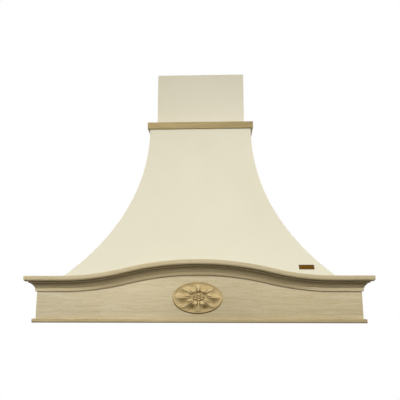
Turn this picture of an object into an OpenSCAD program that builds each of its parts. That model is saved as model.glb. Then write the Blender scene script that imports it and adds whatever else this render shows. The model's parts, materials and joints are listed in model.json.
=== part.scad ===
// Wall-mounted chimney hood with a flared ivory steel canopy, a telescopic flue cover, an oak trim round
// the neck and an oak surround with an arched crown moulding and a carved rosette.
// X runs to the right and Z up. The wall is the plane y = 0 and the hood stands out of it towards -Y.
// z = 0 is the underside of the surround, and x = 0 the middle. All sizes are in millimetres.

/* [Surround] */
// Width over the two side boards
board_w = 844; // [800:1:900]
// Distance from the wall to the front face of the front board
board_d = 472; // [455:1:520]
// Thickness of the boards
board_t = 20; // [16:1:26]
// How far the boards end below the top of the crown
board_drop = 3; // [1:0.5:8]
// Height of the lip strip under the boards
lip_h = 10; // [8:0.5:14]
// How far the lip strip stands out from the boards
lip_out = 7.5; // [4:0.5:12]
// Rounding of the lip strip's outer edges
lip_round = 1.5; // [1:0.5:3.5]

/* [Crown moulding] */
// Height of the crown's underside at its level ends
crown_z = 79.5; // [70:0.5:90]
// Height of the crown
crown_h = 39.5; // [36:0.5:46]
// How far the crown stands out from the boards
crown_out = 28; // [25:0.5:34]
// Height of the flat band at the top of the crown
band_h = 14.5; // [8:0.5:16]
// Rounding of the band's lower edge
band_round = 6.5; // [1:0.5:8]
// Height of the dark step between the band and the cove
step_h = 2; // [1:0.5:3]
// How far the upper end of the cove stands out from the boards
cove_out = 18.5; // [16:0.5:21]
// Radius of the cove
cove_r = 28; // [20:1:60]
// Height of the narrow foot below the cove
foot_h = 8.5; // [5:0.5:11]
// How far that foot stands out from the boards
foot_out = 4; // [2:0.5:7]

/* [Arch] */
// Rise of the crown at the middle
arch_rise = 42; // [20:1:60]
// Distance from the middle to where the crown is level again
arch_half = 352; // [300:1:380]
// Distance from the middle to where the arch turns from convex to concave
arch_turn = 183; // [150:1:220]
// Glue lines in the front crown and the front board, and behind the blank plate
glue_line = 0.05; // [0.02:0.01:0.1]

/* [Rosette] */
// Width of the carved rosette
rosette_w = 131; // [90:1:150]
// Height of the rosette
rosette_h = 81; // [50:1:90]
// Thickness of the rosette
rosette_t = 14; // [8:0.5:18]
// Height of the rosette's middle
rosette_z = 63; // [58:1:66]
// Number of petals
petals = 8; // [5:1:12]

/* [Canopy] */
// Width of the canopy at its neck
neck_w = 316; // [310:1:360]
// Depth of the canopy at its neck
neck_d = 284; // [265:1:300]
// Height of the neck's top
neck_z = 584; // [560:1:640]
// Height at which the upright rim ends and the flare starts
flare_z = 92; // [88:1:110]
// Thickness of the canopy's steel sheet
sheet = 1.2; // [0.8:0.1:2]
// Distance between the upper wall holes, and between the lower ones
wall_hole_w = 220; // [180:1:260]
// Height of the lower wall holes
wall_hole_low = 150; // [120:1:200]
// Distance from the neck's top down to the upper wall holes
wall_hole_drop = 44; // [30:1:100]
// Radius of the wall holes
wall_hole_r = 4; // [3:0.5:5]
// Place of the blank plate, to the right of the middle
plate_x = 293; // [200:1:300]
// Height of the blank plate's middle
plate_z = 144; // [140:1:200]
// Width of the blank plate
plate_w = 41; // [20:1:60]
// Height of the blank plate
plate_h = 15; // [8:1:25]
// Thickness of the blank plate
plate_t = 1; // [0.5:0.1:2]

/* [Neck trim] */
// Width of the trim
trim_w = 331; // [325:1:370]
// Distance from the wall to the trim's front
trim_d = 290; // [275:1:320]
// Height of the trim
trim_h = 21; // [15:0.5:30]

/* [Flue cover] */
// Width of the lower flue section
flue_w = 279; // [270:1:300]
// Depth of the lower flue section
flue_d = 250; // [240:1:262]
// Height of the lower section's top
flue_z = 780; // [740:1:1000]
// Thickness of the flue sheet
flue_t = 1; // [0.8:0.1:1.5]
// Gap between the two flue sections
flue_gap = 0.5; // [0.3:0.1:1.5]
// How far the upper section's top lies below the lower one's at rest
flue_sink = 3; // [1:0.5:10]
// Height of the upper section's lower edge above the neck
flue_foot = 16; // [10:1:40]
// Width of the screw flanges at the foot of the lower section
flange_w = 15; // [12:1:20]
// Distance from the wall to the flanges' rear screws
flue_screw_back = 60; // [50:1:90]
// Distance from the wall to the flanges' front screws
flue_screw_front = 190; // [120:1:220]
// Height of the wall bracket's strip
bracket_h = 22; // [15:1:40]
// Length of the bracket's ears along the flue's sides
bracket_ear = 26; // [15:1:50]
// Thickness of the bracket
bracket_t = 1.5; // [1:0.1:3]
// Distance from the upper section's top to the bracket's middle
bracket_low = 20; // [15:1:60]
// Distance between the bracket's holes
bracket_hole_w = 160; // [100:1:200]
// Radius of the bracket's holes
bracket_hole_r = 3.25; // [2:0.25:4]

/* [Intake panel] */
// Height of the intake panel's underside
panel_z = 45; // [42:1:60]
// Gap round the intake panel
panel_gap = 0.5; // [0.3:0.1:1]
// Height of the panel's folded front and rear edges
panel_fold = 12; // [6:1:20]
// Width of the rails that carry the panel
rail_w = 22; // [18:1:30]
// Height of the rails
rail_h = 20; // [12:1:24]
// Thickness of the rails
rail_t = 1.5; // [1:0.1:3]
// Distance from the rims to the rails' ends
rail_end = 8; // [2:1:20]

/* [Grease filters] */
// Width of a filter
filter_w = 300; // [240:1:310]
// Distance from the front board's inner face to the filters' front edge
filter_in = 140; // [130:1:170]
// Thickness of a filter
filter_t = 9; // [8:0.5:12]
// Distance from the wall to the filters' rear edge
filter_y = 62; // [50:1:90]
// Width of the panel's bar between the filters, with both gaps
filter_bar = 20; // [14:1:40]
// Gap between a filter and the panel at its sides and front
filter_gap = 2; // [1.5:0.1:3]
// Gap between a filter and the panel at its rear edge
filter_rear_gap = 1; // [0.5:0.1:2]
// Width of the filter's border
filter_border = 12; // [8:1:20]
// Thickness of the mesh pad
mesh_t = 6; // [4:0.5:6.5]
// How far the mesh pad reaches into the border
mesh_bite = 3; // [2:0.5:5]
// Play of the mesh pad in its groove
mesh_play = 0.2; // [0.1:0.05:0.3]
// Width of a filter's rear lugs
lug_w = 20; // [10:1:40]
// Length of the lugs
lug_l = 8; // [5:1:15]
// Thickness of the lugs
lug_t = 1.5; // [1:0.1:3]
// Distance of the lugs from the filter's middle
lug_x = 100; // [60:1:110]

/* [Filter latch] */
// Width of the latch plate
latch_w = 44; // [30:1:60]
// Length of the latch plate
latch_l = 21; // [15:1:30]
// Thickness of the latch plate
latch_t = 3.4; // [2:0.1:3.8]
// Travel of the latch
latch_travel = 6; // [3:0.5:8]
// Width of the latch's tongue
tongue_w = 24; // [10:1:30]
// Width of the finger pull
pull_w = 36; // [20:1:40]
// How far the finger pull hangs below the filter
pull_drop = 8; // [4:0.5:12]
// Thickness of the finger pull
pull_t = 3; // [2:0.5:5]
// Play round the latch
latch_play = 0.3; // [0.2:0.05:0.5]
// Thickness of the walls in front of the latch and behind it
latch_wall = 2; // [1.5:0.1:3]
// Thickness of the walls beside the latch
latch_side = 8; // [3:0.5:12]
// Thickness of the floor that the latch plate slides on
latch_floor = 2.5; // [2:0.1:3]

/* [Lamps] */
// Distance of the lamps from the middle
lamp_x = 250; // [180:1:320]
// Distance from the front board's inner face to the lamps and the controls
front_in = 71; // [50:1:80]
// Radius of the lamp's outer ring
lamp_ring_r = 35; // [30:1:45]
// Radius of the lamp's can
lamp_can_r = 29; // [26:0.5:29.5]
// Height of the lamp's can above the panel
lamp_can_h = 30; // [15:1:45]
// How far the lamp's ring hangs below the panel
lamp_ring_t = 2.5; // [1.5:0.5:5]
// Radius of the lens
lens_r = 24; // [18:0.5:25]
// Thickness of the lens
lens_t = 3; // [2:0.5:4]
// Thickness of the lamp's walls
lamp_wall = 2.5; // [1:0.1:2.6]
// Chamfer of the lamp's ring
lamp_chamfer = 1.5; // [0.5:0.1:1.5]
// Gap round the lens
lens_play = 0.3; // [0.1:0.05:0.5]

/* [Controls] */
// Width of the control fascia
fascia_w = 176; // [170:1:220]
// Depth of the control fascia
fascia_d = 44; // [40:1:60]
// Thickness of the control fascia
fascia_t = 3; // [2:0.5:5]
// Rounding of the control fascia's corners
fascia_round = 5; // [1:0.5:10]
// Width of the control housing
housing_w = 160; // [150:1:168]
// Depth of the control housing
housing_d = 34; // [30:1:38]
// Height of the control housing
housing_h = 27; // [18:1:40]
// Distance between two buttons
button_pitch = 28; // [26:1:29]
// Width of a button
button_w = 18; // [12:0.5:20]
// Depth of a button
button_d = 15; // [10:0.5:18]
// Rounding of a button's corners
button_round = 2.5; // [1:0.5:4]
// How far a button stands out of the fascia
button_out = 2.5; // [2:0.5:5]
// Travel of a button
button_travel = 2; // [1:0.5:3]
// Play round a button
button_play = 0.3; // [0.2:0.05:0.5]
// How far a button's collar is wider than its face on each side
collar_out = 1.5; // [1:0.5:2]
// Thickness of a button's collar
collar_t = 2; // [1:0.5:3]
// Height of the stem above the collar
stem_h = 7.5; // [4:0.5:10]
// How far the stem is narrower than the face on each side
stem_in = 3; // [2:0.5:4]

/* [Duct outlet] */
// Distance from the wall to the duct's axis
duct_y = 126; // [120:1:140]
// Outer radius of the spigot
spigot_r = 75; // [60:0.5:76]
// Thickness of the spigot's wall
spigot_t = 1.5; // [1:0.1:3]
// Height of the spigot
spigot_h = 56; // [40:1:80]
// Width of the spigot's flange
flange_out = 17; // [15:0.5:20]
// Height of the flap rod above the neck
flap_z = 16; // [12:0.5:24]
// Radius of the flap rod
rod_r = 2; // [1.5:0.1:3]
// Running play of the flaps on the rod
rod_play = 0.08; // [0.03:0.01:0.1]
// Thickness of the flaps and of their hinge eyes
flap_t = 1.2; // [0.8:0.1:2]
// Gap between a flap's rim and the spigot's wall
flap_gap = 0.9; // [0.5:0.1:2]
// Width of the ledge that the flaps rest on
ledge_w = 4; // [2:0.5:6]
// Height of that ledge
ledge_h = 2.5; // [1:0.5:5]
// Gap between the flaps and the ledge
ledge_gap = 0.3; // [0.2:0.05:0.5]
// Half the length of the rear flap's hinge eye
eye_half = 28; // [15:1:32]
// Length of each of the front flap's two hinge eyes
eye_l = 28; // [10:1:32]
// Gap between two hinge eyes
eye_gap = 3; // [0.5:0.5:5]

/* [Blower] */
// Distance from the neck's top down to the impeller's axis
fan_drop = 179; // [155:1:200]
// Inner width of the blower along its axis
blower_w = 120; // [110:1:124]
// Thickness of the blower's sheet
blower_t = 1.2; // [0.8:0.1:2]
// Smallest radius of the scroll
scroll_r = 88; // [84:0.5:92]
// Growth of the scroll's radius from one quarter to the next
scroll_step = 10; // [6:0.5:11]
// Half the width of the blower's outlet
outlet_half = 45; // [40:0.5:46]
// Width of the outlet's screw flange
outlet_flange = 12; // [10:0.5:14]
// Radius of the air inlets
inlet_r = 64; // [60:0.5:68]
// Outer radius of the impeller
fan_r = 77; // [70:0.5:80]
// Inner radius of the impeller's blade ring
fan_inner_r = 62; // [55:0.5:64]
// Gap between the impeller and the blower's plates
fan_gap = 5; // [3:0.5:8]
// Thickness of a blade
blade_t = 1.2; // [0.8:0.1:2]
// Lean of the blades in degrees
blade_lean = 25; // [0:1:35]
// Number of blades
blades = 36; // [12:1:42]
// Thickness of the impeller's end rings
fan_ring_t = 1.5; // [1:0.1:3]
// Thickness of the impeller's middle disc
fan_disc_t = 2; // [1:0.1:3]
// Radius of the impeller's boss
boss_r = 12; // [8:0.5:16]
// Length of the boss on each side of the disc
boss_l = 5; // [3:0.5:8]
// Radius of the shaft
shaft_r = 4; // [3:0.5:6]
// Running play of the shaft in the motor
shaft_play = 0.05; // [0.02:0.01:0.1]
// How far the shaft stands out in front of the motor bracket
shaft_out = 6; // [2:0.5:12]
// Radius of the motor
motor_r = 42; // [30:0.5:50]
// Size of the steps at the motor's two ends
motor_step = 5; // [2:0.5:10]
// Gap between the motor and the impeller's boss
motor_gap = 2; // [1:0.5:5]
// Thickness of the motor bracket
arm_t = 2; // [1.5:0.1:4]
// Width of the motor bracket's arms
arm_w = 14; // [10:0.5:20]
// Radius on which the arms' screws lie
arm_screw_r = 83; // [82:0.5:84]

/* [Terminal box] */
// Place of the terminal box to the right of the middle
box_x = 100; // [80:1:130]
// Height of the terminal box's underside
box_z = 225; // [150:1:228]
// Width of the terminal box
box_w = 110; // [90:1:140]
// Depth of the terminal box
box_d = 38; // [36:1:60]
// Height of the terminal box
box_h = 70; // [50:1:74]
// Thickness of the box's walls and lid
box_t = 2; // [1:0.1:3]
// Radius of the capacitor
capacitor_r = 14; // [10:0.5:16]
// Length of the capacitor
capacitor_l = 60; // [40:1:80]
// Gap between the capacitor and the box
capacitor_gap = 0.3; // [0.1:0.05:0.5]
// Place of the cable gland to the right of the middle
gland_x = 106; // [105:1:110]
// Distance from the wall to the gland's axis
gland_y = 34; // [25:1:40]
// Radius of the gland's bore
gland_bore_r = 3.5; // [2.5:0.25:5]
// Radius of the gland's thread
gland_r = 6; // [5.5:0.25:8]
// Radius of the gland's hexagon over its corners
gland_hex_r = 10; // [8.5:0.5:12]
// Radius of the gland's cap
gland_cap_r = 7; // [6:0.25:8]
// Height of the gland's hexagon
gland_hex_h = 6; // [3:0.5:10]
// Height of the gland's cap
gland_cap_h = 9; // [5:0.5:15]
// Length of the gland's thread below the plate
gland_thread = 8; // [5:0.5:15]

/* [Screws] */
// Radius of a steel screw's shank
screw_r = 2; // [1.5:0.1:2.2]
// Length of a steel screw's shank
screw_l = 10; // [6:0.5:12]
// Radius of a steel screw's head
screw_head_r = 3.8; // [3:0.1:4.2]
// Height of a steel screw's head
screw_head_h = 2.2; // [1.5:0.1:3]
// Length of the cross slots in the screws' heads
slot_l = 5; // [3:0.5:6]
// Width of the cross slots
slot_w = 1; // [0.6:0.1:1.5]
// Depth of the cross slots
slot_depth = 1; // [0.5:0.1:1.4]
// Play round a steel screw's shank
screw_play = 0.25; // [0.1:0.05:0.5]
// Radius of a wood screw's shank
wood_screw_r = 1.8; // [1.5:0.1:2.5]
// Length of a wood screw's shank
wood_screw_l = 14; // [8:0.5:15]
// Radius of a wood screw's head
wood_head_r = 4; // [3:0.1:6]
// Height of a wood screw's head
wood_head_h = 2.5; // [1.5:0.1:4]
// Play round a wood screw's shank
wood_play = 0.1; // [0.05:0.05:0.3]
// Height of the wood screws
wood_screw_z = 80; // [74:1:88]
// Distance of the outer front wood screws from the middle
wood_screw_x = 300; // [200:1:370]
// Distance from the wall to the rear wood screws of the side boards
wood_screw_back = 80; // [40:1:150]
// Distance from the wall to the front wood screws of the side boards
wood_screw_front = 350; // [250:1:400]

/* [Hidden] */

$fn = 96;
buttons = 5;
ivory = "#e2dbc0";
oak = "#c3b48d";
trim_oak = "#a08b68";
steel = "#b9bcc0";
zinc = "#a3a8ad";

// How far cutting shapes reach past the faces they cut
over = 1;
// How far the mitre shapes reach out of a corner
far = 80;

mouth_half = board_w / 2 - board_t;
mouth_d = board_d - board_t;
rim_half = mouth_half - sheet;
rim_d = mouth_d - sheet;
board_top = crown_z + crown_h - board_drop;
side_r = flare_radius(mouth_half - neck_w / 2);
front_r = flare_radius(mouth_d - neck_d);

arch_angle = 2 * atan(arch_rise / arch_half);
hump_r = arch_turn / sin(arch_angle);
dip_r = (arch_half - arch_turn) / sin(arch_angle);
hump_z = crown_z + arch_rise - hump_r;

panel_top = panel_z + sheet;
front_y = mouth_d - front_in;
filter_d = mouth_d - filter_in - filter_y;
rail_screw_x = rim_half - rail_w / 2;
rail_screw_ys = [filter_y, filter_y + filter_d / 2, front_y];
filter_half_pitch = (filter_w + filter_bar) / 2;
pocket_l = latch_l + latch_travel + 2 * latch_play;
latch_block_w = latch_w + 2 * (latch_play + latch_side);
latch_block_d = latch_wall + pocket_l + latch_wall;

fan_x = outlet_half - scroll_r - 3 * scroll_step;
fan_z = neck_z - fan_drop;
outlet_top = neck_z - sheet;
blower_front = duct_y + blower_w / 2;
blower_back = duct_y - blower_w / 2;
fan_front = blower_front - fan_gap;
fan_back = blower_back + fan_gap;
bracket_y = blower_front + blower_t;
duct_screw_x = outlet_half + blower_t + outlet_flange / 2;
duct_screw_y = blower_w / 2 + blower_t + outlet_flange / 2;
flap_r = spigot_r - spigot_t - flap_gap;
flap_edge = rod_r + rod_play + 2 * flap_t;
flue_screw_x = flue_w / 2 - flue_t - flange_w / 2;
upper_half = flue_w / 2 - flue_t - flue_gap;
upper_d = flue_d - flue_t - flue_gap;
upper_inner_half = upper_half - flue_t;
upper_top = flue_z - flue_sink;
bracket_z = upper_top - bracket_low;

// Radius of the arc that leaves the neck upright and stands out by run at the top of the rim
function flare_radius(run) = (run * run + pow(neck_z - flare_z, 2)) / (2 * run);

// Places children on both sides of the middle
module both_sides() {
    children();
    mirror([1, 0, 0]) children();
}

// Extrudes an outline drawn in x and z from y = -start towards the front
module to_front(start, depth) {
    translate([0, -start, 0]) rotate([90, 0, 0]) linear_extrude(depth) children();
}

// Extrudes an outline drawn in y and z along x, evenly about the middle
module across(width) {
    rotate([90, 0, 90]) linear_extrude(width, center = true) children();
}

// Box from a low corner to a high corner
module block(low, high) {
    translate(low) cube(high - low);
}

// Rectangle about the origin with round corners
module rounded_rectangle(width, depth, radius) {
    square([width - 2 * radius, depth], center = true);
    square([width, depth - 2 * radius], center = true);
    for (x = [-1, 1], y = [-1, 1]) {
        translate([x * (width / 2 - radius), y * (depth / 2 - radius)]) circle(radius);
    }
}

// Pan-head screw with its shank along +Z from the seat at z = 0
module screw(shank_radius, shank_length, head_radius, head_height) {
    cylinder(r = shank_radius, h = shank_length);
    difference() {
        translate([0, 0, -head_height]) cylinder(r = head_radius, h = head_height);
        for (turn = [0, 90]) {
            rotate(turn) translate([0, 0, -head_height])
                cube([slot_l, slot_w, 2 * slot_depth], center = true);
        }
    }
}

// Canopy outlines. The inset is 0 on the outside and the sheet's thickness on the inside.
module side_outline(inset, more) {
    difference() {
        translate([inset - mouth_half, -more]) square([2 * (mouth_half - inset), neck_z + 2 * more]);
        for (side = [-1, 1]) {
            translate([side * (neck_w / 2 + side_r), neck_z]) circle(side_r + inset);
        }
    }
}

module front_outline(inset, more) {
    difference() {
        translate([inset - mouth_d, -more]) square([mouth_d - inset + more, neck_z + 2 * more]);
        translate([-neck_d - front_r, neck_z]) circle(front_r + inset);
    }
}

// Seats of the wood screws, on the inside of the rim, with +Z pointing into the board
module at_wood_screws() {
    for (x = [-wood_screw_x, 0, wood_screw_x]) {
        translate([x, -rim_d, wood_screw_z]) rotate([90, 0, 0]) children();
    }
    for (side = [-1, 1], y = [wood_screw_back, wood_screw_front]) {
        translate([side * rim_half, -y, wood_screw_z]) rotate([0, side * 90, 0]) children();
    }
}

module wood_screw_holes() {
    at_wood_screws() translate([0, 0, -over])
        cylinder(r = wood_screw_r + wood_play, h = wood_screw_l + 2 * over);
}

// Seats of the intake panel's screws, with +Z pointing up into the rail
module at_panel_screws() {
    for (side = [-1, 1], y = rail_screw_ys) {
        translate([side * rail_screw_x, -y, panel_z]) children();
    }
}

// Seats of the screws that hold the spigot and the blower to the top plate, with +Z pointing down
module at_duct_screws() {
    for (x = [-1, 1], y = [-1, 1]) {
        translate([x * duct_screw_x, y * duct_screw_y - duct_y, neck_z + spigot_t])
            rotate([180, 0, 0]) children();
    }
}

// Seats of the lower flue section's screws, with +Z pointing down
module at_flue_screws() {
    for (side = [-1, 1], y = [flue_screw_back, flue_screw_front]) {
        translate([side * flue_screw_x, -y, neck_z + flue_t]) rotate([180, 0, 0]) children();
    }
}

// Seats of the motor bracket's screws, with +Z pointing to the wall
module at_arm_screws() {
    for (turn = [30, 150, 270]) {
        translate([fan_x, -bracket_y - arm_t, fan_z]) rotate([0, -turn, 0])
            translate([arm_screw_r, 0, 0]) rotate([-90, 0, 0]) children();
    }
}

// Clearance hole along the whole shank of a steel screw
module screw_hole() {
    translate([0, 0, -over]) cylinder(r = screw_r + screw_play, h = screw_l + 2 * over);
}

module canopy_front() {
    color(ivory) difference() {
        intersection() {
            across(2 * mouth_half + 2 * over) difference() {
                front_outline(0, 0);
                front_outline(sheet, over);
            }
            to_front(0, mouth_d + over) side_outline(0, 0);
        }
        wood_screw_holes();
    }
}

module canopy_side() {
    difference() {
        intersection() {
            to_front(sheet, mouth_d) difference() {
                side_outline(0, 0);
                side_outline(sheet, over);
            }
            across(2 * mouth_half + 2 * over) front_outline(sheet, 0);
            block([0, -mouth_d, 0], [mouth_half + over, 0, neck_z]);
        }
        wood_screw_holes();
    }
}

module canopy_left() {
    color(ivory) mirror([1, 0, 0]) canopy_side();
}

module canopy_right() {
    color(ivory) canopy_side();
}

module canopy_back() {
    color(ivory) difference() {
        to_front(0, sheet) side_outline(0, 0);
        for (x = [-1, 1], z = [wall_hole_low, neck_z - wall_hole_drop]) {
            translate([x * wall_hole_w / 2, over, z]) rotate([90, 0, 0])
                cylinder(r = wall_hole_r, h = sheet + 2 * over);
        }
    }
}

module canopy_top() {
    color(ivory) difference() {
        block([sheet - neck_w / 2, sheet - neck_d, neck_z - sheet],
            [neck_w / 2 - sheet, -sheet, neck_z]);
        translate([0, -duct_y, neck_z - sheet - over])
            cylinder(r = spigot_r - spigot_t, h = sheet + 2 * over);
        translate([gland_x, -gland_y, neck_z - sheet - over]) cylinder(r = gland_r, h = sheet + 2 * over);
        at_duct_screws() screw_hole();
        at_flue_screws() screw_hole();
    }
}

module blank_plate() {
    lean = asin((neck_z - plate_z) / front_r);
    color("#5f3b0c") translate([plate_x, -neck_d - front_r, neck_z]) rotate([-lean, 0, 0]) intersection() {
        rotate([0, 90, 0]) difference() {
            cylinder(r = front_r - glue_line, h = plate_w, center = true);
            cylinder(r = front_r - glue_line - plate_t, h = plate_w + 2 * over, center = true);
        }
        translate([0, front_r, 0]) cube([plate_w, plate_h, plate_h], center = true);
    }
}

module rail() {
    front = rail_end - rim_d;
    back = -sheet - rail_end;
    difference() {
        union() {
            block([rim_half - rail_w, front, panel_top], [rim_half, back, panel_top + rail_t]);
            block([rim_half - rail_t, front, panel_top], [rim_half, back, panel_top + rail_h]);
        }
        at_panel_screws() screw_hole();
    }
}

module rail_left() {
    color(zinc) mirror([1, 0, 0]) rail();
}

module rail_right() {
    color(zinc) rail();
}

module intake_panel() {
    half = rim_half - panel_gap;
    front = panel_gap - rim_d;
    back = -sheet - panel_gap;
    fold_half = half - rail_w;
    color(ivory) difference() {
        union() {
            block([-half, front, panel_z], [half, back, panel_top]);
            block([-fold_half, front, panel_z], [fold_half, front + sheet, panel_z + panel_fold]);
            block([-fold_half, back - sheet, panel_z], [fold_half, back, panel_z + panel_fold]);
        }
        for (side = [-1, 1]) {
            translate([side * filter_half_pitch, -filter_y, panel_z - over]) block(
                [-filter_w / 2 - filter_gap, -filter_d - filter_gap, 0],
                [filter_w / 2 + filter_gap, filter_rear_gap, sheet + 2 * over]);
            translate([side * lamp_x, -front_y, panel_z - over])
                cylinder(r = lamp_can_r + panel_gap, h = sheet + 2 * over);
        }
        translate([0, -front_y, panel_z])
            cube([housing_w + 2 * panel_gap, housing_d + 2 * panel_gap, 2 * sheet + over], center = true);
        at_panel_screws() screw_hole();
    }
}

module steel_screw() {
    screw(screw_r, screw_l, screw_head_r, screw_head_h);
}

module steel_screws() {
    color(steel) {
        at_panel_screws() steel_screw();
        at_duct_screws() steel_screw();
        at_flue_screws() steel_screw();
        at_arm_screws() steel_screw();
    }
}

module wood_screws() {
    color(steel) at_wood_screws() screw(wood_screw_r, wood_screw_l, wood_head_r, wood_head_h);
}

// The front board is glued up from a straight plank and a cap that backs the crown's hump
module board_front() {
    color(oak) {
        difference() {
            block([-board_w / 2, -board_d, lip_h], [board_w / 2, -mouth_d, board_top]);
            wood_screw_holes();
        }
        to_front(mouth_d, board_t) intersection() {
            translate([0, hump_z]) circle(hump_r + crown_h - board_drop);
            translate([-arch_turn, board_top + glue_line]) square([2 * arch_turn, arch_rise]);
        }
    }
}

module board_side() {
    difference() {
        block([mouth_half, -mouth_d, lip_h], [board_w / 2, 0, board_top]);
        wood_screw_holes();
    }
}

module board_left() {
    color(oak) mirror([1, 0, 0]) board_side();
}

module board_right() {
    color(oak) board_side();
}

// Parts of space that a mitred corner leaves to the front piece and to the right one
module front_mitre(height) {
    linear_extrude(height) polygon([
        [-mouth_half, -mouth_d], [mouth_half, -mouth_d],
        [mouth_half + far, -mouth_d - far], [-mouth_half - far, -mouth_d - far]
    ]);
}

module side_mitre(height) {
    linear_extrude(height) polygon([
        [mouth_half, -mouth_d], [mouth_half + far, -mouth_d - far], [mouth_half + far, 0], [mouth_half, 0]
    ]);
}

// Crown moulding in section: x runs out from the board and y up from the crown's underside
module crown_profile() {
    cove_low = [foot_out, foot_h];
    cove_high = [cove_out, crown_h - band_h - step_h];
    chord = cove_high - cove_low;
    reach = sqrt(cove_r * cove_r - chord * chord / 4);
    cove_middle = (cove_low + cove_high) / 2 + [chord.y, -chord.x] * reach / norm(chord);
    square([foot_out, crown_h]);
    difference() {
        translate([0, foot_h]) square([cove_out, cove_high.y - foot_h]);
        translate(cove_middle) circle(cove_r);
    }
    translate([0, cove_high.y]) square([cove_out, crown_h - cove_high.y]);
    translate([0, crown_h - band_h]) square([crown_out - band_round, band_h]);
    translate([0, crown_h - band_h + band_round]) square([crown_out, band_h - band_round]);
    translate([crown_out - band_round, crown_h - band_h + band_round]) circle(band_round);
}

// The front crown is glued up from five lengths: the hump, two hollow bends and two straight ends
module crown_front() {
    glue_turn = glue_line / (hump_r + crown_h) * 180 / PI;
    color(oak) {
        translate([0, 0, hump_z]) rotate([90, 0, 0]) rotate(90 - arch_angle + glue_turn)
            rotate_extrude(angle = 2 * (arch_angle - glue_turn))
            translate([hump_r, board_d]) mirror([1, -1]) crown_profile();
        both_sides() {
            translate([arch_half, 0, crown_z + dip_r]) rotate([90, 0, 0]) rotate(270 - arch_angle)
                rotate_extrude(angle = arch_angle) translate([dip_r, board_d]) rotate(90) crown_profile();
            intersection() {
                translate([arch_half + glue_line, 0, 0])
                    rotate([90, 0, 90]) linear_extrude(board_w / 2 - arch_half + far)
                    translate([-board_d, crown_z]) mirror([1, 0]) crown_profile();
                translate([0, 0, crown_z - over]) front_mitre(crown_h + 2 * over);
            }
        }
    }
}

module crown_side() {
    intersection() {
        to_front(0, board_d + far) translate([board_w / 2, crown_z]) crown_profile();
        translate([0, 0, crown_z - over]) side_mitre(crown_h + 2 * over);
    }
}

module crown_left() {
    color(oak) mirror([1, 0, 0]) crown_side();
}

module crown_right() {
    color(oak) crown_side();
}

// Lip strip in section: x runs out from the board's inner face and y up
module lip_profile() {
    width = board_t + lip_out;
    square([width - lip_round, lip_h]);
    translate([0, lip_round]) square([width, lip_h - 2 * lip_round]);
    for (y = [lip_round, lip_h - lip_round]) {
        translate([width - lip_round, y]) circle(lip_round);
    }
}

module lip_front() {
    color(oak) intersection() {
        across(board_w + 2 * far) translate([-mouth_d, 0]) mirror([1, 0]) lip_profile();
        translate([0, 0, -over]) front_mitre(lip_h + 2 * over);
    }
}

module lip_side() {
    intersection() {
        to_front(0, board_d + far) translate([mouth_half, 0]) lip_profile();
        translate([0, 0, -over]) side_mitre(lip_h + 2 * over);
    }
}

module lip_left() {
    color(oak) mirror([1, 0, 0]) lip_side();
}

module lip_right() {
    color(oak) lip_side();
}

// Rosette: rings of points from the middle to the scalloped rim, raised by petals round a beaded boss
rosette_rings = 9;
rosette_steps = 96;

function rosette_reach(angle) = 1 - 0.07 * pow(sin(angle * petals / 2), 2);

function rosette_height(share, angle) =
    share < 0.3
        ? 0.62 + 0.3 * cos(share * 300)
        : (0.35 + 0.4 * sin((share - 0.3) * 200)) * (1 - 0.45 * pow(sin(angle * petals / 2), 4)) + 0.1;

function rosette_point(ring, step) =
    let (angle = 360 * step / rosette_steps)
    let (share = ring / rosette_rings)
    [
        rosette_w / 2 * share * rosette_reach(angle) * cos(angle),
        -board_d - rosette_t * (ring == rosette_rings ? 0.2 : min(1, rosette_height(share, angle))),
        rosette_z + rosette_h / 2 * share * rosette_reach(angle) * sin(angle)
    ];

module rosette() {
    points = [
        [0, -board_d - rosette_t * min(1, rosette_height(0, 0)), rosette_z],
        for (ring = [1 : rosette_rings], step = [0 : rosette_steps - 1]) rosette_point(ring, step),
        for (step = [0 : rosette_steps - 1])
            let (edge = rosette_point(rosette_rings, step)) [edge.x, -board_d, edge.z],
        [0, -board_d, rosette_z]
    ];
    last = len(points) - 1;
    faces = [
        for (step = [0 : rosette_steps - 1]) [0, 1 + (step + 1) % rosette_steps, 1 + step],
        for (ring = [0 : rosette_rings - 1], step = [0 : rosette_steps - 1])
            let (low = 1 + ring * rosette_steps + step)
            let (next = 1 + ring * rosette_steps + (step + 1) % rosette_steps)
            each [[low, next, next + rosette_steps], [low, next + rosette_steps, low + rosette_steps]],
        for (step = [0 : rosette_steps - 1])
            [last, last - rosette_steps + step, last - rosette_steps + (step + 1) % rosette_steps]
    ];
    color("#cbb489") polyhedron(points, faces);
}

module trim_front() {
    color(trim_oak) block([-trim_w / 2, -trim_d, neck_z], [trim_w / 2, -flue_d, neck_z + trim_h]);
}

module trim_side() {
    block([flue_w / 2, -flue_d, neck_z], [trim_w / 2, 0, neck_z + trim_h]);
}

module trim_left() {
    color(trim_oak) mirror([1, 0, 0]) trim_side();
}

module trim_right() {
    color(trim_oak) trim_side();
}

// Sheet bent round the front and both sides, open to the wall
module flue_sheet(half, depth, low, high) {
    difference() {
        block([-half, -depth, low], [half, 0, high]);
        block([flue_t - half, flue_t - depth, low - over], [half - flue_t, over, high + over]);
    }
}

module flue_lower() {
    color(ivory) difference() {
        union() {
            flue_sheet(flue_w / 2, flue_d, neck_z, flue_z);
            both_sides() block(
                [flue_w / 2 - flue_t - flange_w, flue_t - flue_d, neck_z], [flue_w / 2, 0, neck_z + flue_t]);
        }
        at_flue_screws() screw_hole();
    }
}

module flue_upper() {
    color(ivory) flue_sheet(upper_half, upper_d, neck_z + flue_foot, upper_top);
}

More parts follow.
